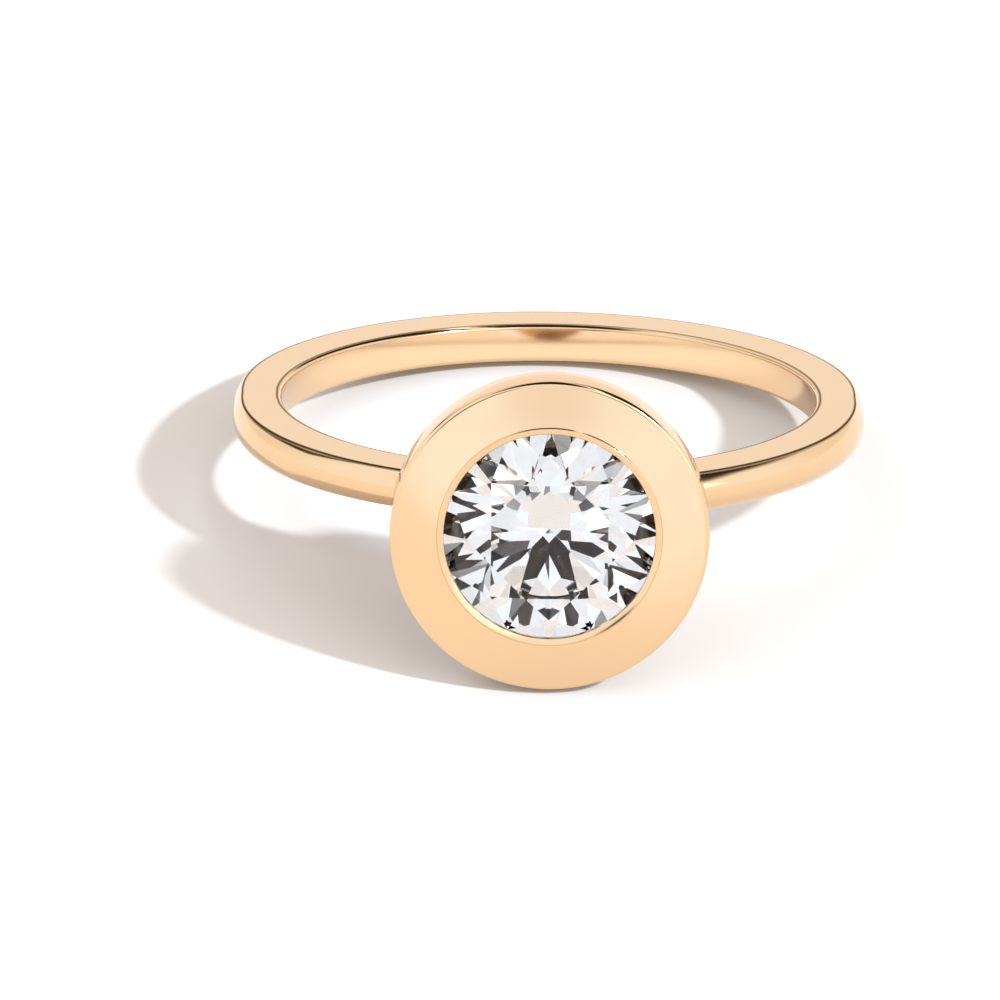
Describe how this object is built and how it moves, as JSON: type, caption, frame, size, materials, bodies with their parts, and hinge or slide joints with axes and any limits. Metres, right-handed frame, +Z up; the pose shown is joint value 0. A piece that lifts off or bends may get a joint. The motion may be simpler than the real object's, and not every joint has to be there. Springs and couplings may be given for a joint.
{
  "type": "bezel set ring",
  "caption": "Slim gold finger ring with flat sides and a domed outside, carrying a round brilliant-cut stone in a wide flat round bezel; it lies on its side.",
  "frame": {"origin": "on the surface that the ring lies on, under the middle of its length and width", "axes": "+Z up from the surface; the bezel looks along -Y and the back of the band is towards +Y; +X to the right seen from the bezel's front"},
  "size_m": [0.0194, 0.0246, 0.0096],
  "materials": {
    "gold": "polished warm yellow gold",
    "stone": "clear colourless cut stone"
  },
  "bodies": {
    "root": {"gold_ring": "gold", "stone": "stone"}
  },
  "joints": []
}
